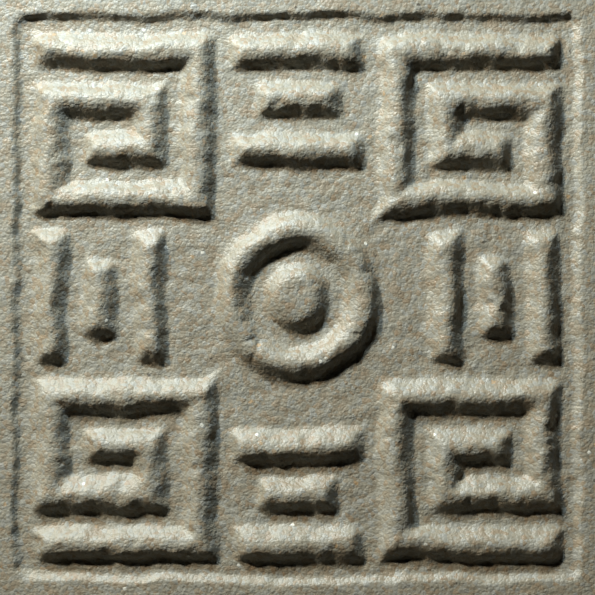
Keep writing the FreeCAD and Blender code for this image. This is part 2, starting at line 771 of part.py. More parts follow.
def main():
    doc = FreeCAD.newDocument("teapot")
    s = make_sheet(doc)
    form = Form(s)
    pieces = [
        make_foot_ring(doc, s, form),
        make_base_slab(doc, s, form),
        make_body_wall(doc, s, form),
        make_shoulder_slab(doc, s, form),
        make_neck_ring(doc, s, form),
        make_lid_rim(doc, s, form),
        make_lid_dome(doc, s, form),
        make_lid_flange(doc, s, form),
        make_knob(doc, s, form),
        make_spout(doc, s, form),
        make_strainer(doc, s, form),
        make_handle(doc, s, form),
    ]
    doc.recompute()
    for thing in doc.Objects:
        if "Invalid" in thing.State or "Error" in thing.State:
            raise RuntimeError(f"{thing.Label} failed: {thing.State}")
    os.makedirs("parts", exist_ok=True)
    for piece in pieces:
        shape = piece.Shape
        if shape.isNull() or not shape.isValid():
            raise RuntimeError(f"{piece.Label} has no valid shape")
        shape.exportStep(os.path.join("parts", piece.Label + ".step"))
        print(piece.Label, len(shape.Solids), round(shape.Volume, 1))


main()
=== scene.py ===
import math
import random

import bmesh
import bpy
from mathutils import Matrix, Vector


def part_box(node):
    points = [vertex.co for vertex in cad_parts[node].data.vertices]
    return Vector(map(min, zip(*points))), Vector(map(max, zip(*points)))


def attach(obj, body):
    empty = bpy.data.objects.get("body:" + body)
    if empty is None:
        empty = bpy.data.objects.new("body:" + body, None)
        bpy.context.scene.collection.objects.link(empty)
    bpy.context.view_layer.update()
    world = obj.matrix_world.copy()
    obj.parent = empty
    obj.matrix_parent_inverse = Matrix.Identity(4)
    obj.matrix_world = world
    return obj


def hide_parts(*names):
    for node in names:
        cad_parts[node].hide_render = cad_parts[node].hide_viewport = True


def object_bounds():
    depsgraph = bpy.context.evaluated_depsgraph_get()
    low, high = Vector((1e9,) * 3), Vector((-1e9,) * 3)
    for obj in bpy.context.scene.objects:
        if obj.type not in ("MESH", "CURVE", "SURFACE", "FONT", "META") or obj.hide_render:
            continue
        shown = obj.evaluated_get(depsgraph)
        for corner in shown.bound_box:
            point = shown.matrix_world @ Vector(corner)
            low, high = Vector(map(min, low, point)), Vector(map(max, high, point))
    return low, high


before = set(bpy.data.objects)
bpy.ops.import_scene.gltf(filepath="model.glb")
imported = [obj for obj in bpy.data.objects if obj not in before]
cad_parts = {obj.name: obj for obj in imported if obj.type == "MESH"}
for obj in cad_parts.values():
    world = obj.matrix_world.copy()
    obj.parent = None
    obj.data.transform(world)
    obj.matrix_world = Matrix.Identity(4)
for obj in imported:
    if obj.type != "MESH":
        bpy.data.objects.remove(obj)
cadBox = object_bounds()
mm = 0.001
weld = 0.001 * mm  # vertices this close become one
print("frame:", ", ".join(sorted(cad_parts)))


# Modelling helpers

def startPiece(name):  # one vertex at the origin, in edit mode
    bpy.ops.object.select_all(action="DESELECT")
    bpy.ops.mesh.primitive_plane_add(size=mm)
    piece = bpy.context.object
    piece.name = name
    piece.data.name = name
    bpy.ops.object.mode_set(mode="EDIT")
    bpy.ops.mesh.select_mode(type="VERT")
    bpy.ops.mesh.merge(type="CENTER")
    return piece


def closeMesh():  # merges doubles, turns the faces outwards and leaves edit mode
    bpy.ops.mesh.select_all(action="SELECT")
    bpy.ops.mesh.remove_doubles(threshold=weld)
    bpy.ops.mesh.normals_make_consistent(inside=False)
    bpy.ops.object.mode_set(mode="OBJECT")


def pick(piece, chosen):  # selects the vertices that chosen() takes, with the edges and faces between them
    mesh = bmesh.from_edit_mesh(piece.data)
    mesh.verts.index_update()
    for face in mesh.faces:
        face.select_set(False)
    for edge in mesh.edges:
        edge.select_set(False)
    for vertex in mesh.verts:
        vertex.select_set(chosen(vertex))
    mesh.select_flush(True)
    bmesh.update_edit_mesh(piece.data)


def finishWith(piece, kind, **settings):  # adds a modifier and applies it
    bpy.ops.object.select_all(action="DESELECT")
    piece.select_set(True)
    bpy.context.view_layer.objects.active = piece
    bpy.ops.object.modifier_add(type=kind)
    modifier = piece.modifiers[-1]
    for key, value in settings.items():
        setattr(modifier, key, value)
    bpy.ops.object.modifier_apply(modifier=modifier.name)


def smooth(piece, angle=35):
    bpy.ops.object.select_all(action="DESELECT")
    piece.select_set(True)
    bpy.context.view_layer.objects.active = piece
    bpy.ops.object.shade_smooth_by_angle(angle=math.radians(angle))


def arc(start, end, radius, side, count):  # points after start, bulging left (1) or right (-1) of the chord
    first, last = Vector(start), Vector(end)
    chord = last - first
    left = Vector((-chord.y, chord.x)).normalized()
    middle = (first + last) / 2 - left * side * math.sqrt(max(radius**2 - chord.length_squared / 4, 0))
    startAngle = math.atan2(first.y - middle.y, first.x - middle.x)
    endAngle = math.atan2(last.y - middle.y, last.x - middle.x)
    turn = (endAngle - startAngle + math.pi) % (2 * math.pi) - math.pi
    angles = [startAngle + turn * step / count for step in range(1, count + 1)]
    return [(middle.x + radius * math.cos(a), middle.y + radius * math.sin(a)) for a in angles]


def swell(bulge, height):  # radius of an arc that leaves its widest point upright and falls in by bulge
    return (bulge**2 + height**2) / (2 * bulge)


def bead(bulge, height):  # radius of an arc that stands out by bulge over a straight edge
    return (bulge**2 + height**2 / 4) / (2 * bulge)


def turnPiece(name, section, steps):  # spins a closed section round the pot's axis
    piece = startPiece(name)
    bpy.ops.transform.translate(value=(section[0][0], 0, section[0][1]))
    closed = section + section[:1]
    for (x0, z0), (x1, z1) in zip(closed, closed[1:]):
        bpy.ops.mesh.extrude_vertices_move(TRANSFORM_OT_translate={"value": (x1 - x0, 0, z1 - z0)})
    bpy.ops.mesh.select_all(action="SELECT")
    bpy.ops.mesh.remove_doubles(threshold=weld)
    bpy.ops.mesh.select_all(action="SELECT")
    bpy.ops.mesh.spin(steps=steps, angle=2 * math.pi, center=(0, 0, 0), axis=(0, 0, 1))
    closeMesh()
    return piece


def loftPiece(name, rings, count):  # rings: (x, z), facing angle above +X, half height, half width
    piece = startPiece(name)
    for (x, z), facing, tall, wide in rings:
        turn = (0, math.radians(90 - facing), 0)
        bpy.ops.mesh.primitive_circle_add(vertices=count, radius=tall, location=(x, 0, z), rotation=turn)
        bpy.ops.transform.resize(value=(1, wide / tall, 1))
    for ring in range(len(rings) - 1):
        first = 1 + ring * count
        pick(piece, lambda vertex: first <= vertex.index < first + 2 * count)
        bpy.ops.mesh.bridge_edge_loops()
    pick(piece, lambda vertex: vertex.index == 0)
    bpy.ops.mesh.delete(type="VERT")
    bpy.ops.object.mode_set(mode="OBJECT")
    return piece


def place(piece, body, *nodes, finish):  # rides on its body and stands for its nodes; finish is not used
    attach(piece, body)
    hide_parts(*nodes)
    return piece


# Forms shared by the pieces: places read from the frame, and a maker's sizes in metres

def turned(node):  # radius, lowest and highest point of a turned node
    low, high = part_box(node)
    return high.y, low.z, high.z


cadBelly, footTop, wallTop = turned("body_wall")
waistRadius = turned("foot_ring")[0]
baseRadius = turned("base_slab")[0]
shoulderTop = turned("shoulder_slab")[2]
neckRadius, _, rimTop = turned("neck_ring")
lidRadius, _, lidTop = turned("lid_rim")
domeRadius, _, domeTop = turned("lid_dome")
flangeRadius, flangeLow, _ = turned("lid_flange")
knobRadius = turned("knob")[0]

potForm = {
    "unevenness": 0.16 * mm,
    "baseThickness": 3.2 * mm,
    "bellyHeight": 27.5 * mm,
    "wall": 3.0 * mm,
    "floorRadius": 30.8 * mm,
    "mouthRadius": 28.4 * mm,
    "shoulderThickness": 3.0 * mm,
    "bead": 1.0 * mm,
    "edge": 0.35 * mm,  # softening of every worked edge
    "edgeSteps": 3,
    "beadSteps": 14,
    "ringSteps": 192,
    "paddleMark": 16 * mm,
}
bellyRadius = cadBelly - potForm["unevenness"] / 2
baseUnder = footTop - potForm["baseThickness"]
bellyHeight = potForm["bellyHeight"]
innerBelly = bellyRadius - potForm["wall"]
ceiling = shoulderTop - potForm["shoulderThickness"]
lowArc = swell(bellyRadius - waistRadius, bellyHeight - footTop)
highArc = swell(bellyRadius - neckRadius, shoulderTop - bellyHeight)
innerLowArc = swell(innerBelly - potForm["floorRadius"], bellyHeight - footTop)
innerHighArc = swell(innerBelly - potForm["mouthRadius"], ceiling - bellyHeight)


def onArc(widest, radius, rise):  # distance from the axis where an arc has risen or fallen by rise
    return widest - radius + math.sqrt(radius**2 - rise**2)


def softEdges(piece, width, angle=50):
    finishWith(
        piece, "BEVEL", width=width, segments=potForm["edgeSteps"], limit_method="ANGLE",
        angle_limit=math.radians(angle),
    )


beatenClay = bpy.data.textures.new("beatenClay", "CLOUDS")  # slow unevenness left by the paddle
beatenClay.noise_scale = potForm["paddleMark"]
beatenClay.noise_depth = 1


def beaten(piece, depth):  # along X, then Y, so that joined pieces stay joined
    for direction in ("X", "Y"):
        finishWith(
            piece, "DISPLACE", texture=beatenClay, texture_coords="LOCAL", strength=depth,
            mid_level=0.5, direction=direction,
        )


# Pot

footLook = {"radius": 33.0 * mm, "width": 4.6 * mm, "edge": 0.8 * mm, "edgeSteps": 5, "coveSteps": 14}


def makeFootRing():
    inner = footLook["radius"] - footLook["width"]
    edge = footLook["edge"]
    cove = swell(waistRadius - footLook["radius"], footTop - edge)
    section = [(inner, 0), (footLook["radius"] - edge, 0)]
    section += arc(section[-1], (footLook["radius"], edge), edge, -1, footLook["edgeSteps"])
    section += arc(section[-1], (waistRadius, footTop), cove, 1, footLook["coveSteps"])
    section += [(baseRadius, footTop), (baseRadius, baseUnder), (inner, baseUnder)]
    piece = turnPiece("footRing", section, potForm["ringSteps"])
    softEdges(piece, potForm["edge"])
    smooth(piece)
    return place(piece, "pot", "foot_ring", finish="body_clay")


wallLook = {"arcSteps": 22, "inletRadius": 7.6 * mm, "drillLength": 16 * mm, "drillSides": 64}


def makeBodyWall():
    steps = wallLook["arcSteps"]
    outerTop = onArc(bellyRadius, highArc, wallTop - bellyHeight)
    innerTop = onArc(innerBelly, innerHighArc, wallTop - bellyHeight)
    section = [(waistRadius, footTop)]
    section += arc(section[-1], (bellyRadius, bellyHeight), lowArc, -1, steps)
    section += arc(section[-1], (outerTop, wallTop), highArc, -1, steps)
    section += [(innerTop, wallTop)]
    section += arc(section[-1], (innerBelly, bellyHeight), innerHighArc, 1, steps)
    section += arc(section[-1], (potForm["floorRadius"], footTop), innerLowArc, 1, steps)
    piece = turnPiece("bodyWall", section, potForm["ringSteps"])
    beaten(piece, potForm["unevenness"])
    drill(piece)
    smooth(piece)
    return place(piece, "pot", "body_wall", finish="body_clay")


def drill(piece):  # the round hole behind the spout
    bpy.ops.object.select_all(action="DESELECT")
    bpy.ops.mesh.primitive_cylinder_add(
        vertices=wallLook["drillSides"],
        radius=wallLook["inletRadius"],
        depth=wallLook["drillLength"],
        location=(innerBelly, 0, bellyHeight),
        rotation=(0, math.radians(90 - spoutLook["rootAngle"]), 0),
    )
    cutter = bpy.context.object
    finishWith(piece, "BOOLEAN", object=cutter, operation="DIFFERENCE", solver="EXACT")
    bpy.data.objects.remove(cutter)


def makeShoulder():
    steps = wallLook["arcSteps"]
    outerLow = onArc(bellyRadius, highArc, wallTop - bellyHeight)
    innerLow = onArc(innerBelly, innerHighArc, wallTop - bellyHeight)
    section = [(outerLow, wallTop)]
    section += arc(section[-1], (neckRadius, shoulderTop), highArc, -1, steps)
    section += [(potForm["mouthRadius"], shoulderTop), (potForm["mouthRadius"], ceiling)]
    section += arc(section[-1], (innerLow, wallTop), innerHighArc, 1, steps)
    piece = turnPiece("shoulderSlab", section, potForm["ringSteps"])
    beaten(piece, potForm["unevenness"])
    smooth(piece)
    return place(piece, "pot", "shoulder_slab", finish="body_clay")


def beadedRing(name, inner, outer, low, high):  # a ring with a half-round outer face
    side = outer - potForm["bead"]
    section = [(inner, low), (side, low)]
    section += arc(section[-1], (side, high), bead(potForm["bead"], high - low), -1, potForm["beadSteps"])
    section += [(inner, high)]
    piece = turnPiece(name, section, potForm["ringSteps"])
    softEdges(piece, potForm["edge"] / 2)
    smooth(piece)
    return piece


def makeNeckRing():
    piece = beadedRing("neckRing", potForm["mouthRadius"], neckRadius, shoulderTop, rimTop)
    return place(piece, "pot", "neck_ring", finish="body_clay")


# A plain outside of the belly, only to press the roots of the spout and the handle against

bellyLook = {"arcSteps": 40, "coreShare": 0.3, "ringSteps": 256}


def makeBellyForm():
    core = bellyLook["coreShare"] * neckRadius
    section = [(waistRadius, footTop)]
    section += arc(section[-1], (bellyRadius, bellyHeight), lowArc, -1, bellyLook["arcSteps"])
    section += arc(section[-1], (neckRadius, shoulderTop), highArc, -1, bellyLook["arcSteps"])
    section += [(core, shoulderTop), (core, footTop)]
    return turnPiece("bellyForm", section, bellyLook["ringSteps"])


def curveAt(points, t):  # a cubic through its first and last points
    weights = ((1 - t) ** 3, 3 * t * (1 - t) ** 2, 3 * t**2 * (1 - t), t**3)
    return tuple(sum(w * p[axis] for w, p in zip(weights, points)) for axis in (0, 1))


def facingAt(points, t):  # the cubic's slope, in degrees above +X
    weights = (-((1 - t) ** 2), (1 - t) * (1 - 3 * t), t * (2 - 3 * t), t**2)
    across, up = (sum(w * p[axis] for w, p in zip(weights, points)) for axis in (0, 1))
    return math.degrees(math.atan2(up, across))


def pressRoot(piece, belly, row, count, offset):  # lays one ring of vertices on the belly
    group = piece.vertex_groups.new(name="root")
    group.add(list(range(row * count, (row + 1) * count)), 1.0, "REPLACE")
    finishWith(
        piece, "SHRINKWRAP", target=belly, wrap_method="NEAREST_SURFACEPOINT", wrap_mode="ABOVE_SURFACE",
        offset=offset, vertex_group="root",
    )
    piece.vertex_groups.clear()


spoutLook = {
    "rootAngle": 32.0,
    "tipAngle": 62.0,
    "reach": 79.85 * mm,
    "rootPull": 12.0 * mm,
    "tipPull": 15.0 * mm,
    "sink": 9.0 * mm,
    "rootTall": 14.5 * mm,
    "rootWide": 13.0 * mm,
    "tipRadius": 5.7 * mm,
    "wall": 1.9 * mm,
    "stations": (0.27, 0.34, 0.42, 0.5, 0.6, 0.7, 0.8, 0.88),
    "skirts": ((0.15, 1.16, -0.25 * mm), (0.19, 1.05, 0.18 * mm)),  # way along the line, flare, stand-off
    "lip": ((-0.9, 0), (-0.25, 0.06), (0, 0.5), (0, 1.3), (-0.5, 1.85), (-1.4, 1.9)),  # height, inset in mm
    "boreStations": (0.8, 0.65, 0.5, 0.35, 0.22, 0.15),
    "sides": 40,
}


def makeSpout(belly):
    look = spoutLook
    rootWay = (math.cos(math.radians(look["rootAngle"])), math.sin(math.radians(look["rootAngle"])))
    tipWay = (math.cos(math.radians(look["tipAngle"])), math.sin(math.radians(look["tipAngle"])))
    tip = (look["reach"] - look["tipRadius"] / tipWay[1], rimTop)
    line = [
        (innerBelly - look["sink"] * rootWay[0], bellyHeight - look["sink"] * rootWay[1]),
        (innerBelly + look["rootPull"] * rootWay[0], bellyHeight + look["rootPull"] * rootWay[1]),
        (tip[0] - look["tipPull"] * tipWay[0], tip[1] - look["tipPull"] * tipWay[1]),
        tip,
    ]

    def ring(t, flare=1.0, inset=0.0):
        share = (1 - t) ** 2
        tall = look["tipRadius"] + share * (look["rootTall"] - look["tipRadius"])
        wide = look["tipRadius"] + share * (look["rootWide"] - look["tipRadius"])
        return curveAt(line, t), t * look["tipAngle"], tall * flare - inset, wide * flare - inset

    rings = [ring(t, flare) for t, flare, _ in look["skirts"]]
    rings += [ring(t) for t in look["stations"]]
    for height, inset in look["lip"]:
        lean = height * mm * tipWay[0] / tipWay[1]
        radius = look["tipRadius"] - inset * mm
        rings.append(((tip[0] + lean, rimTop + height * mm), 90.0, radius / tipWay[1], radius))
    rings += [ring(t, inset=look["wall"]) for t in look["boreStations"]]
    piece = loftPiece("pouringSpout", rings, look["sides"])
    for row, (_, _, offset) in enumerate(look["skirts"]):
        pressRoot(piece, belly, row, look["sides"], offset)
    finishWith(piece, "SUBSURF", levels=2, render_levels=2)
    closeEnds(piece, bpy.ops.mesh.bridge_edge_loops)
    smooth(piece, angle=60)
    return place(piece, "pot", "spout", finish="body_clay")


def closeEnds(piece, close):  # shuts the ends that lie inside the wall
    bpy.ops.object.select_all(action="DESELECT")
    bpy.context.view_layer.objects.active = piece
    bpy.ops.object.mode_set(mode="EDIT")
    bpy.ops.mesh.select_all(action="DESELECT")
    bpy.ops.mesh.select_non_manifold()
    close()
    closeMesh()


handleLook = {
    "topDrop": 6.0 * mm,
    "lowRise": 9.5 * mm,
    "lift": 20.0 * mm,
    "fall": 3.0 * mm,
    "sink": 5.0 * mm,
    "wide": 10.0 * mm,
    "thick": 7.6 * mm,
    "taper": 1.8 * mm,
    "flare": 2.6 * mm,
    "flarePower": 6,  # keeps the flare near the ends
    "stations": (0.07, 0.12, 0.18, 0.25, 0.32, 0.41, 0.5, 0.59, 0.68, 0.75, 0.82, 0.88, 0.93),
    "topSkirts": ((0.03, 1.28, -0.25 * mm), (0.045, 1.1, 0.2 * mm)),
    "lowSkirts": ((0.955, 1.1, 0.2 * mm), (0.97, 1.28, -0.25 * mm)),
    "sides": 28,
}


def makeHandle(belly):
    look = handleLook
    top = shoulderTop - look["topDrop"]
    low = footTop + look["lowRise"]
    topStart = onArc(bellyRadius, highArc, top - bellyHeight) - look["sink"]
    lowEnd = onArc(bellyRadius, lowArc, bellyHeight - low) - look["sink"]
    back = -cadBox[0][0] - look["thick"] / 2
    throw = (back - (topStart + lowEnd) / 8) * 4 / 3  # so that the cubic's middle lies at the back
    line = [(-topStart, top), (-throw, top + look["lift"]), (-throw, low - look["fall"]), (-lowEnd, low)]

    def ring(t, flare=1.0):
        thinning = look["taper"] * (0.5 - t)
        widening = look["flare"] * abs(2 * t - 1) ** look["flarePower"]
        thick = (look["thick"] + thinning + widening) / 2
        wide = (look["wide"] + thinning + widening) / 2
        return curveAt(line, t), facingAt(line, t), thick * flare, wide * flare

    skirts = look["topSkirts"] + look["lowSkirts"]
    rings = [ring(t, flare) for t, flare, _ in look["topSkirts"]]
    rings += [ring(t) for t in look["stations"]]
    rings += [ring(t, flare) for t, flare, _ in look["lowSkirts"]]
    piece = loftPiece("earHandle", rings, look["sides"])
    rows = [0, 1, len(rings) - 2, len(rings) - 1]
    for row, (_, _, offset) in zip(rows, skirts):
        pressRoot(piece, belly, row, look["sides"], offset)
    finishWith(piece, "SUBSURF", levels=2, render_levels=2)
    closeEnds(piece, bpy.ops.mesh.edge_face_add)
    smooth(piece, angle=60)
    return place(piece, "pot", "handle", finish="body_clay")


# Lid

lidLook = {
    "thickness": 3.2 * mm,
    "ventRadius": 1.2 * mm,
    "ventLoss": 0.01 * mm,  # height of the dome that the air hole takes away
    "cornerAngle": 30,  # edges sharper than this are softened
    "arcSteps": 26,
}
flangeLook = {"width": 2.8 * mm, "edge": 0.9 * mm, "edgeSteps": 6}
flangeInner = flangeRadius - flangeLook["width"]
domeSphere = swell(domeTop - lidTop + lidLook["ventLoss"], domeRadius)
domeRise = domeSphere - math.sqrt(domeSphere**2 - domeRadius**2)


def domeHeight(across):  # top of the lid's dome at a distance from the axis
    return lidTop + domeRise - domeSphere + math.sqrt(domeSphere**2 - across**2)


def makeLidRim():
    piece = beadedRing("lidRim", flangeInner, lidRadius, rimTop, lidTop)
    return place(piece, "lid", "lid_rim", finish="body_clay")


def makeLidDome():
    vent = lidLook["ventRadius"]
    hollowRise = domeRise - lidLook["thickness"]
    hollow = swell(hollowRise, flangeInner)
    hollowAtVent = lidTop + hollowRise - hollow + math.sqrt(hollow**2 - vent**2)
    section = [(vent, hollowAtVent)]
    section += arc(section[-1], (flangeInner, lidTop), hollow, 1, lidLook["arcSteps"])
    section += [(domeRadius, lidTop)]
    section += arc(section[-1], (vent, domeHeight(vent)), domeSphere, -1, lidLook["arcSteps"])
    piece = turnPiece("lidDome", section, potForm["ringSteps"])
    softEdges(piece, potForm["edge"] / 2, lidLook["cornerAngle"])
    smooth(piece)
    return place(piece, "lid", "lid_dome", finish="body_clay")


def makeLidFlange():
    edge, steps = flangeLook["edge"], flangeLook["edgeSteps"]
    section = [(flangeInner, flangeLow + edge)]
    section += arc(section[-1], (flangeInner + edge, flangeLow), edge, -1, steps)
    section += [(flangeRadius - edge, flangeLow)]
    section += arc(section[-1], (flangeRadius, flangeLow + edge), edge, -1, steps)
    section += [(flangeRadius, rimTop), (flangeInner, rimTop)]
    piece = turnPiece("lidFlange", section, potForm["ringSteps"])
    smooth(piece)
    return place(piece, "lid", "lid_flange", finish="raw_clay")


knobLook = {
    "neck": 5.4 * mm,
    "neckHeight": 2.2 * mm,
    "swell": 3.2 * mm,
    "crown": 6.0 * mm,
    "crownAngle": 24.0,
    "swellSteps": 10,
    "sideSteps": 12,
    "crownSteps": 10,
    "ringSteps": 128,
}


def makeKnob():
    look = knobLook
    vent, neck, crown = lidLook["ventRadius"], look["neck"], look["crown"]
    slope = math.radians(look["crownAngle"])
    neckTop = domeHeight(neck) + look["neckHeight"]
    widest = neckTop + look["swell"]
    side = (knobRadius - crown) / (1 - math.sin(slope))
    crownEdge = widest + side * math.cos(slope)
    crownSphere = crown / math.sin(slope)
    crownAtVent = crownEdge - crownSphere * math.cos(slope) + math.sqrt(crownSphere**2 - vent**2)
    section = [(vent, domeHeight(vent)), (neck, domeHeight(neck)), (neck, neckTop)]
    swellArc = swell(knobRadius - neck, look["swell"])
    section += arc(section[-1], (knobRadius, widest), swellArc, -1, look["swellSteps"])
    section += arc(section[-1], (crown, crownEdge), side, -1, look["sideSteps"])
    section += arc(section[-1], (vent, crownAtVent), crownSphere, -1, look["crownSteps"])
    piece = turnPiece("lidKnob", section, look["ringSteps"])
    softEdges(piece, potForm["edge"] / 2, lidLook["cornerAngle"])
    smooth(piece, angle=45)
    return place(piece, "lid", "knob", finish="body_clay")


# Base with the seal: strokes stand in a sunk square field, pressed by a hand-cut stamp

sealLook = {
    "side": 24.0 * mm,
    "corner": 0.8 * mm,
    "cells": 23,
    "split": 5,  # faces across a stroke, each way
    "margin": 1,  # cells of flat clay kept round the panel
    "spread": ((1.03, 0.1), (1.06, 0.3), (1.12, 0.6), (1.18, 1.0), (1.3, 0), (1.25, 0)),  # growth, rounding
    "rimRises": (0.02, 0.5, 0.48),  # shares of the slab's thickness
    "depth": 0.24 * mm,
    "strokeHeight": 0.5 * mm,
    "strokeFoot": 0.45,  # share of the height already reached at a stroke's edge
    "strokeRound": 0.18,  # share of the height that a stroke's top loses beside its edges
    "crispness": 0.3,  # how sharply the strokes' tops are cut
    "fret": ((0, 0), (6, 0), (6, 6), (0, 6), (0, 2), (4, 2), (4, 4), (2, 4)),
    "bars": (5, 3, 5),
    "ringCells": (2.1, 3.1),  # square loops that are then rounded
    "bossCells": 1.1,
    "ringFit": 0.9,  # keeps the rounded loops clear of the frets
    "cutJitter": 0.036 * mm,
    "nickShare": 0.036,
    "nickDepth": 0.13 * mm,
    "cutSway": 0.44 * mm,
    "swaySize": 2.2 * mm,
    "acrossSize": 1.1,  # sizes along Y, so that the two ways waver apart
    "cutWobble": 0.2 * mm,
    "wobbleSize": 0.95 * mm,
    "lump": 0.07 * mm,
    "lumpSize": 1.0 * mm,
    "sand": 0.016 * mm,
    "sandSize": 0.3 * mm,
    "seed": 7,
}
sealUnit = sealLook["side"] / sealLook["cells"]
sealStep = sealUnit / sealLook["split"]


def strokeCells():  # cells of the ornament, counted from the panel's middle
    edge = 1 - (sealLook["cells"] - 1) // 2
    cells = set()
    fret = sealLook["fret"]
    for (x0, y0), (x1, y1) in zip(fret, fret[1:]):
        steps = max(abs(x1 - x0), abs(y1 - y0))
        for step in range(steps + 1):
            x = edge + x0 + (x1 - x0) * step // steps
            y = edge + y0 + (y1 - y0) * step // steps
            cells |= {(x, y), (-x, y), (x, -y), (-x, -y)}
    for number, length in enumerate(sealLook["bars"]):
        y = edge + 2 * number
        for x in range(-(length // 2), length // 2 + 1):
            cells |= {(x, y), (x, -y), (y, x), (-y, x)}
    return cells


def makeBase():
    look = sealLook
    span = look["cells"] + 2 * look["margin"]
    faces = span * look["split"]
    bpy.ops.object.select_all(action="DESELECT")
    bpy.ops.mesh.primitive_grid_add(x_subdivisions=faces, y_subdivisions=faces, size=span * sealUnit)
    piece = bpy.context.object
    piece.name = "baseSlab"
    piece.data.name = "baseSlab"
    bpy.ops.object.mode_set(mode="EDIT")
    bpy.ops.mesh.select_mode(type="VERT")
    bpy.ops.transform.translate(value=(0, 0, baseUnder))
    pressSeal(piece)
    middle = roundMiddle(piece)
    pick(piece, lambda v: inPanel(v.co, sealStep) and v.index not in middle)
    bpy.ops.transform.vertex_random(offset=look["cutJitter"], uniform=1.0, normal=0.0, seed=look["seed"])
    spreadDisc(piece, span * sealUnit / 2)
    finishWith(piece, "SUBSURF", levels=1, render_levels=1)
    roughen(piece)
    capFloor(piece)
    smooth(piece, angle=80)
    return place(piece, "pot", "base_slab", finish="raw_clay")


def inPanel(spot, beyond=0.0):  # within the square with rounded corners
    half = sealLook["side"] / 2 - sealLook["corner"]
    aside = Vector((max(abs(spot.x) - half, 0), max(abs(spot.y) - half, 0)))
    return aside.length < sealLook["corner"] - 0.4 * sealStep + beyond


def pressSeal(piece):  # the field goes in, the strokes come out of it
    cells = strokeCells()
    ring = sealLook["ringCells"]
    chance = random.Random(sealLook["seed"])

    def isStroke(x, y):
        far = max(abs(x), abs(y)) / sealUnit
        if far < ring[1] + 0.5:
            return far < sealLook["bossCells"] or ring[0] < far < ring[1]
        return (round(x / sealUnit), round(y / sealUnit)) in cells

    def strokeShare(vertex, steps=0.5):  # how much of the clay round a vertex belongs to strokes
        reach = steps * sealStep
        corners = [(x * reach, y * reach) for x in (-1, 1) for y in (-1, 1)]
        return sum(isStroke(vertex.co.x + x, vertex.co.y + y) for x, y in corners) / 4

    pick(piece, lambda v: inPanel(v.co, sealStep))
    sharpen()
    pick(piece, lambda v: inPanel(v.co))
    bpy.ops.transform.translate(value=(0, 0, sealLook["depth"]))
    pick(piece, lambda v: strokeShare(v) == 1)
    bpy.ops.transform.translate(value=(0, 0, -sealLook["strokeHeight"]))
    sharpen()
    pick(piece, lambda v: strokeShare(v) == 1 and strokeShare(v, 1.5) < 1)
    bpy.ops.transform.translate(value=(0, 0, sealLook["strokeHeight"] * sealLook["strokeRound"]))
    pick(piece, lambda v: 0 < strokeShare(v) < 1)
    bpy.ops.transform.translate(value=(0, 0, -sealLook["strokeHeight"] * sealLook["strokeFoot"]))
    pick(piece, lambda v: strokeShare(v) == 1 and chance.random() < sealLook["nickShare"])
    bpy.ops.transform.translate(value=(0, 0, sealLook["nickDepth"]))


def sharpen():  # keeps the rim of the picked faces crisp
    bpy.ops.mesh.region_to_loop()
    bpy.ops.transform.edge_crease(value=sealLook["crispness"])
    bpy.ops.mesh.select_mode(type="VERT")


def roundMiddle(piece):  # square loops round the boss become circles; gives their vertices
    outer = loopNumber(Vector((sealLook["ringCells"][1] * sealUnit, 0)))
    mesh = bmesh.from_edit_mesh(piece.data)
    loops = {v.index: loopNumber(v.co) for v in mesh.verts}
    for loop in range(1, outer + 2):
        pick(piece, lambda v: loops[v.index] == loop)
        bpy.ops.transform.tosphere(value=1.0)
        bpy.ops.transform.resize(value=(sealLook["ringFit"], sealLook["ringFit"], 1))
    return {index for index, loop in loops.items() if loop <= outer + 1}


def loopNumber(spot):  # square loops counted from the middle
    return math.floor(max(abs(spot.x), abs(spot.y)) / sealStep + 0.75)


def spreadDisc(piece, half):  # flat clay out to the foot ring, then the rim
    pick(piece, lambda v: max(abs(v.co.x), abs(v.co.y)) > half - sealStep / 2)
    for growth, rounding in sealLook["spread"]:
        bpy.ops.mesh.extrude_edges_move(TRANSFORM_OT_translate={"value": (0, 0, 0)})
        bpy.ops.transform.resize(value=(growth, growth, 1))
        bpy.ops.transform.tosphere(value=rounding)
    mesh = bmesh.from_edit_mesh(piece.data)
    reach = [v.co.xy.length for v in mesh.verts if v.select]
    fit = baseRadius / (sum(reach) / len(reach))
    bpy.ops.transform.resize(value=(fit, fit, 1))
    for rise in sealLook["rimRises"]:
        lift = (0, 0, rise * (footTop - baseUnder))
        bpy.ops.mesh.extrude_edges_move(TRANSFORM_OT_translate={"value": lift})
    bpy.ops.object.mode_set(mode="OBJECT")


def capFloor(piece):  # the floor inside the pot
    bpy.ops.object.mode_set(mode="EDIT")
    bpy.ops.mesh.select_all(action="DESELECT")
    bpy.ops.mesh.select_non_manifold()
    bpy.ops.mesh.edge_face_add()
    closeMesh()


def roughen(piece):
    look = sealLook
    for name, size, strength, direction in (
        ("stampSwayX", look["swaySize"], look["cutSway"], "X"),
        ("stampSwayY", look["swaySize"] * look["acrossSize"], look["cutSway"], "Y"),
        ("cutWobbleX", look["wobbleSize"], look["cutWobble"], "X"),
        ("cutWobbleY", look["wobbleSize"] * look["acrossSize"], look["cutWobble"], "Y"),
        ("clayLumps", look["lumpSize"], look["lump"], "Z"),
        ("claySand", look["sandSize"], look["sand"], "NORMAL"),
    ):
        texture = bpy.data.textures.new(name, "CLOUDS")
        texture.noise_scale = size
        texture.noise_depth = 2
        finishWith(
            piece, "DISPLACE", texture=texture, texture_coords="LOCAL", strength=strength,
            mid_level=0.5, direction=direction,
        )


# Clay finishes

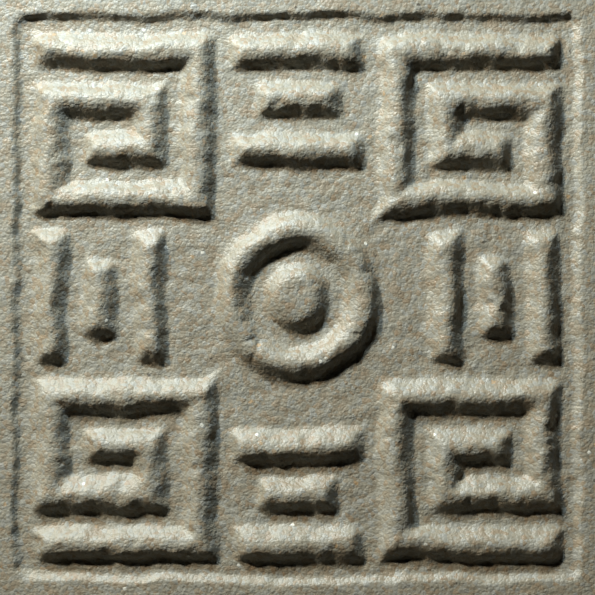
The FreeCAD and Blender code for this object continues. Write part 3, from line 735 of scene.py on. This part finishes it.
class Wire:  # a shader value that can be worked with like a number
    def __init__(self, mixer, socket):
        self.mixer = mixer
        self.socket = socket

    def __add__(self, other):
        return self.mixer.maths("ADD", self, other)

    def __radd__(self, other):
        return self.mixer.maths("ADD", other, self)

    def __sub__(self, other):
        return self.mixer.maths("SUBTRACT", self, other)

    def __rsub__(self, other):
        return self.mixer.maths("SUBTRACT", other, self)

    def __mul__(self, other):
        return self.mixer.maths("MULTIPLY", self, other)

    def __rmul__(self, other):
        return self.mixer.maths("MULTIPLY", other, self)

    def __lt__(self, other):
        return self.mixer.maths("LESS_THAN", self, other)

    def __gt__(self, other):
        return self.mixer.maths("GREATER_THAN", self, other)


class Mixer:  # the nodes of one material or world, and the wires between them
    def __init__(self, owner):
        owner.use_nodes = True
        self.tree = owner.node_tree
        self.tree.nodes.clear()

    def add(self, kind, settings, sockets, out=0):
        node = self.tree.nodes.new("ShaderNode" + kind)
        for key, value in settings.items():
            setattr(node, key, value)
        for key, value in sockets.items():
            if isinstance(value, Wire):
                self.tree.links.new(value.socket, node.inputs[key])
            else:
                node.inputs[key].default_value = value
        return Wire(self, node.outputs[out]) if node.outputs else None

    def maths(self, operation, first, second):
        return self.add("Math", {"operation": operation}, {0: first, 1: second})

    def blend(self, share, first, second):  # mixes two colours
        colours = [c if isinstance(c, Wire) else (*c, 1) for c in (first, second)]
        return self.add("Mix", {"data_type": "RGBA"}, {0: share, 6: colours[0], 7: colours[1]}, 2)

    def noise(self, spot, scale, detail, rough):
        sockets = {"Vector": spot, "Scale": scale, "Detail": detail, "Roughness": rough}
        return self.add("TexNoise", {}, sockets)

    def grains(self, spot, scale):  # distance from the middle of each grain, and a random number for it
        near = self.add("TexVoronoi", {}, {"Vector": spot, "Scale": scale})
        colour = Wire(self, near.socket.node.outputs["Color"])
        return near, self.add("RGBToBW", {}, {"Color": colour})

    def stretch(self, spot, scale):
        return self.add("Mapping", {}, {"Vector": spot, "Scale": scale})


clayLook = {
    "base": (0.200, 0.178, 0.132),
    "olive": (0.228, 0.216, 0.166),
    "rust": (0.215, 0.165, 0.112),
    "umber": (0.138, 0.114, 0.080),
    "pale": (0.37, 0.355, 0.29),
    "ochre": (0.32, 0.20, 0.09),
    "dark": (0.05, 0.042, 0.032),
    # mica flakes: their pale colour is a painted glint, not the flakes' own colour
    "micaPaintedGlint": (0.60, 0.58, 0.50),
    "warmGrain": (0.185, 0.115, 0.055),
    "coolGrain": (0.255, 0.265, 0.255),
    "bloomScale": 26.0,  # all scales are marks to the metre
    "blotchScale": 120.0,
    "cloudScale": 850.0,
    "speckScale": 1150.0,
    "sandScale": 5200.0,
    "fineScale": 11000.0,
    "lineScale": (70.0, 70.0, 2600.0),  # level lines left by rubbing
    "bumpDepth": 0.06 * mm,
    "footWear": 1.0 * mm,
    "dampLine": 52.3 * mm,  # where tea creeps under the lid
    "dampWidth": 4.5 * mm,
    "strength": {
        "bloom": 2.5,
        "cloud": 0.4,
        "fine": 0.7,
        "warmSand": 1.3,
        "coolSand": 1.1,
        "lines": 0.35,
        "damp": 0.8,
        "paleSpecks": 0.55,
        "ochreSpecks": 0.6,
        "darkSpecks": 0.7,
        "wear": 0.35,
        "micaPaintedGlint": 0.8,
    },
}


def clay(name, roughness, relief, burnish):  # burnish: how far the skin is rubbed smooth
    look = clayLook
    material = bpy.data.materials.new(name)
    mixer = Mixer(material)
    spot = mixer.add("TexCoord", {}, {}, "Object")
    up = mixer.add("SeparateXYZ", {}, {"Vector": spot}, "Z")
    bloom = mixer.noise(spot, look["bloomScale"], 2.0, 0.6)
    blotch = mixer.noise(spot, look["blotchScale"], 3.0, 0.6)
    cloud = mixer.noise(spot, look["cloudScale"], 2.0, 0.6)
    fine = mixer.noise(spot, look["fineScale"], 1.0, 0.6)
    sand, sandShade = mixer.grains(spot, look["sandScale"])
    speck, speckShade = mixer.grains(spot, look["speckScale"])
    lines = mixer.noise(mixer.stretch(spot, look["lineScale"]), 1.0, 2.0, 0.65)

    ragged = speck + (fine - 0.5) * 0.25
    ochreMask = (speckShade > 0.7) * (ragged < 0.1 + 0.08 * burnish)
    paleMask = (speckShade > 0.55) * (speckShade < 0.6) * (ragged < 0.24) * burnish
    darkMask = (speckShade < 0.28) * (ragged < 0.08 + 0.14 * burnish)
    # mica flakes: painted glint in the base colour, plus their real lower roughness
    micaPaintedGlintMask = (sandShade > 0.95) * (sand < 0.4)
    wornMask = (up + (cloud - 0.5) * 1.2 * mm) < look["footWear"]
    dampMask = 1 - mixer.maths("ABSOLUTE", up - look["dampLine"], 0) * (1 / look["dampWidth"])
    layers = {
        "bloom": ((bloom - 0.42) * burnish, "rust"),
        "cloud": (cloud, "umber"),
        "fine": (fine - 0.4, "pale"),
        "warmSand": (0.5 - sandShade, "warmGrain"),
        "coolSand": (sandShade - 0.5, "coolGrain"),
        "lines": (lines * burnish, "umber"),
        "damp": (dampMask * blotch * burnish, "dark"),
        "paleSpecks": (paleMask, "pale"),
        "ochreSpecks": (ochreMask, "ochre"),
        "darkSpecks": (darkMask, "dark"),
        "wear": (wornMask * burnish, "pale"),
        "micaPaintedGlint": (micaPaintedGlintMask, "micaPaintedGlint"),
    }
    colour = mixer.blend(blotch, look["base"], look["olive"])
    for layer, (mask, tone) in layers.items():
        colour = mixer.blend(mask * look["strength"][layer], colour, look[tone])
    gloss = roughness + (fine - 0.5) * 0.2 + (blotch - 0.5) * 0.25
    gloss = gloss - micaPaintedGlintMask * 0.2 + wornMask * burnish * 0.25
    height = fine * 0.8 - sand * (0.7 - 0.3 * burnish) + cloud * 0.3 + lines * burnish * 0.8
    normal = mixer.add("Bump", {}, {"Strength": relief, "Distance": look["bumpDepth"], "Height": height})
    shader = mixer.add(
        "BsdfPrincipled", {},
        {"Base Color": colour, "Roughness": gloss, "Normal": normal, "Specular IOR Level": 0.5},
    )
    mixer.add("OutputMaterial", {}, {"Surface": shader})
    return material


def dress(piece, material):
    piece.data.materials.clear()
    piece.data.materials.append(material)


# Build

bellyForm = makeBellyForm()
potPieces = [
    makeFootRing(),
    makeBodyWall(),
    makeShoulder(),
    makeNeckRing(),
    makeSpout(bellyForm),
    makeHandle(bellyForm),
]
bpy.data.objects.remove(bellyForm)
print("pot pieces made")
basePiece = makeBase()
print("base with its seal made")
lidPieces = [makeLidRim(), makeLidDome(), makeKnob()]
flangePiece = makeLidFlange()
print("lid pieces made")

burnishedClay = clay("burnishedClay", roughness=0.42, relief=0.35, burnish=1.0)
sandyClay = clay("sandyClay", roughness=0.5, relief=0.62, burnish=0.0)
for piece in potPieces + lidPieces:
    dress(piece, burnishedClay)
for piece in (basePiece, flangePiece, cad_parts["spout_strainer"]):
    dress(piece, sandyClay)
smooth(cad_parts["spout_strainer"])
print("clay finishes mixed")


# Stage, lamps and camera

stageLook = {
    "floorRadius": 14.0,
    "footHole": 30.2 * mm,  # hidden under the foot ring, so that the base can be seen and lit from below
    "holeSides": 128,
    "floorColour": (0.80, 0.79, 0.77),
    "skyColour": (1.0, 0.99, 0.97),
    "skyLight": 0.8,
    "seenSky": 0.68,  # near the far floor's tone
    "underLight": 0.0006,
}
roomLook = {  # lamps in the room, turned to the pot's middle
    "keyLamp": {"spot": (0.70, -0.85, 1.16), "size": 0.8, "watts": 7.0},
    "fillLamp": {"spot": (-0.7, -0.2, 0.45), "size": 0.6, "watts": 0.8},
}
potMiddle = (0, 0, 0.03)
rakeLook = {  # lamps under the base; bearings run from the image's top towards its left
    "nearLamp": {
        "bearing": 20.0,
        "aside": 50 * mm,
        "below": 27 * mm,
        "size": 6 * mm,
        "watts": 0.05,
        "colour": (0.83, 1.0, 1.1),
    },
    "farLamp": {
        "bearing": 42.0,
        "aside": 120 * mm,
        "below": 66 * mm,
        "size": 10 * mm,
        "watts": 0.29,
        "colour": (1.0, 0.93, 0.78),
    },
}


def makeFloor():
    bpy.ops.object.select_all(action="DESELECT")
    bpy.ops.mesh.primitive_circle_add(vertices=stageLook["holeSides"], radius=stageLook["footHole"])
    floor = bpy.context.object
    floor.name = "floor"
    bpy.ops.object.mode_set(mode="EDIT")
    bpy.ops.mesh.extrude_edges_move(TRANSFORM_OT_translate={"value": (0, 0, 0)})
    spread = stageLook["floorRadius"] / stageLook["footHole"]
    bpy.ops.transform.resize(value=(spread, spread, 1))
    bpy.ops.mesh.select_all(action="SELECT")
    bpy.ops.mesh.normals_make_consistent(inside=False)
    bpy.ops.object.mode_set(mode="OBJECT")
    if floor.data.polygons[0].normal.z < 0:
        floor.data.flip_normals()
    material = bpy.data.materials.new("paleFloor")
    mixer = Mixer(material)
    back = mixer.add("NewGeometry", {}, {}, "Backfacing")
    seen = mixer.add("LightPath", {}, {}, "Is Camera Ray")
    paper = mixer.add("BsdfDiffuse", {}, {"Color": (*stageLook["floorColour"], 1)})
    clear = mixer.add("BsdfTransparent", {}, {})
    mixed = mixer.add("MixShader", {}, {0: back * seen, 1: paper, 2: clear})
    mixer.add("OutputMaterial", {}, {"Surface": mixed})
    dress(floor, material)


def makeWorld():
    world = bpy.data.worlds.new("studio")
    bpy.context.scene.world = world
    mixer = Mixer(world)
    way = mixer.add("TexCoord", {}, {}, "Generated")
    up = mixer.add("SeparateXYZ", {}, {"Vector": way}, "Z")
    seen = mixer.add("LightPath", {}, {}, "Is Camera Ray")
    light = stageLook["underLight"] + (up > 0) * (stageLook["skyLight"] - stageLook["underLight"])
    strength = light + seen * (stageLook["seenSky"] - light)
    sky = mixer.add("Background", {}, {"Color": (*stageLook["skyColour"], 1), "Strength": strength})
    mixer.add("OutputWorld", {}, {"Surface": sky})


def makeLamp(name, spot, target, size, watts):
    bpy.ops.object.select_all(action="DESELECT")
    bpy.ops.object.light_add(type="AREA", location=spot)
    lamp = bpy.context.object
    lamp.name = name
    lamp.data.shape = "DISK"
    lamp.data.size = size
    lamp.data.energy = watts
    lamp.rotation_euler = (Vector(target) - Vector(spot)).to_track_quat("-Z", "Y").to_euler()
    return lamp


makeFloor()
makeWorld()
for name, look in roomLook.items():
    makeLamp(name, look["spot"], potMiddle, look["size"], look["watts"])
for name, look in rakeLook.items():
    bearing = math.radians(look["bearing"])
    spot = (look["aside"] * math.sin(bearing), look["aside"] * math.cos(bearing), baseUnder - look["below"])
    lamp = makeLamp(name, spot, (0, 0, baseUnder), look["size"], look["watts"])
    lamp.data.color = look["colour"]

cameraLook = {"lens": 90.0, "sensor": 36.0, "framed": 25.15 * mm, "nearest": 1 * mm}  # framed: width seen
distance = cameraLook["framed"] * cameraLook["lens"] / cameraLook["sensor"]
bpy.ops.object.camera_add(location=(0, 0, baseUnder - distance), rotation=(math.pi, 0, math.pi))
camera = bpy.context.object
camera.data.lens = cameraLook["lens"]
camera.data.sensor_width = cameraLook["sensor"]
camera.data.clip_start = cameraLook["nearest"]
bpy.context.scene.camera = camera
bpy.context.scene.view_settings.view_transform = "Standard"
print("stage set")
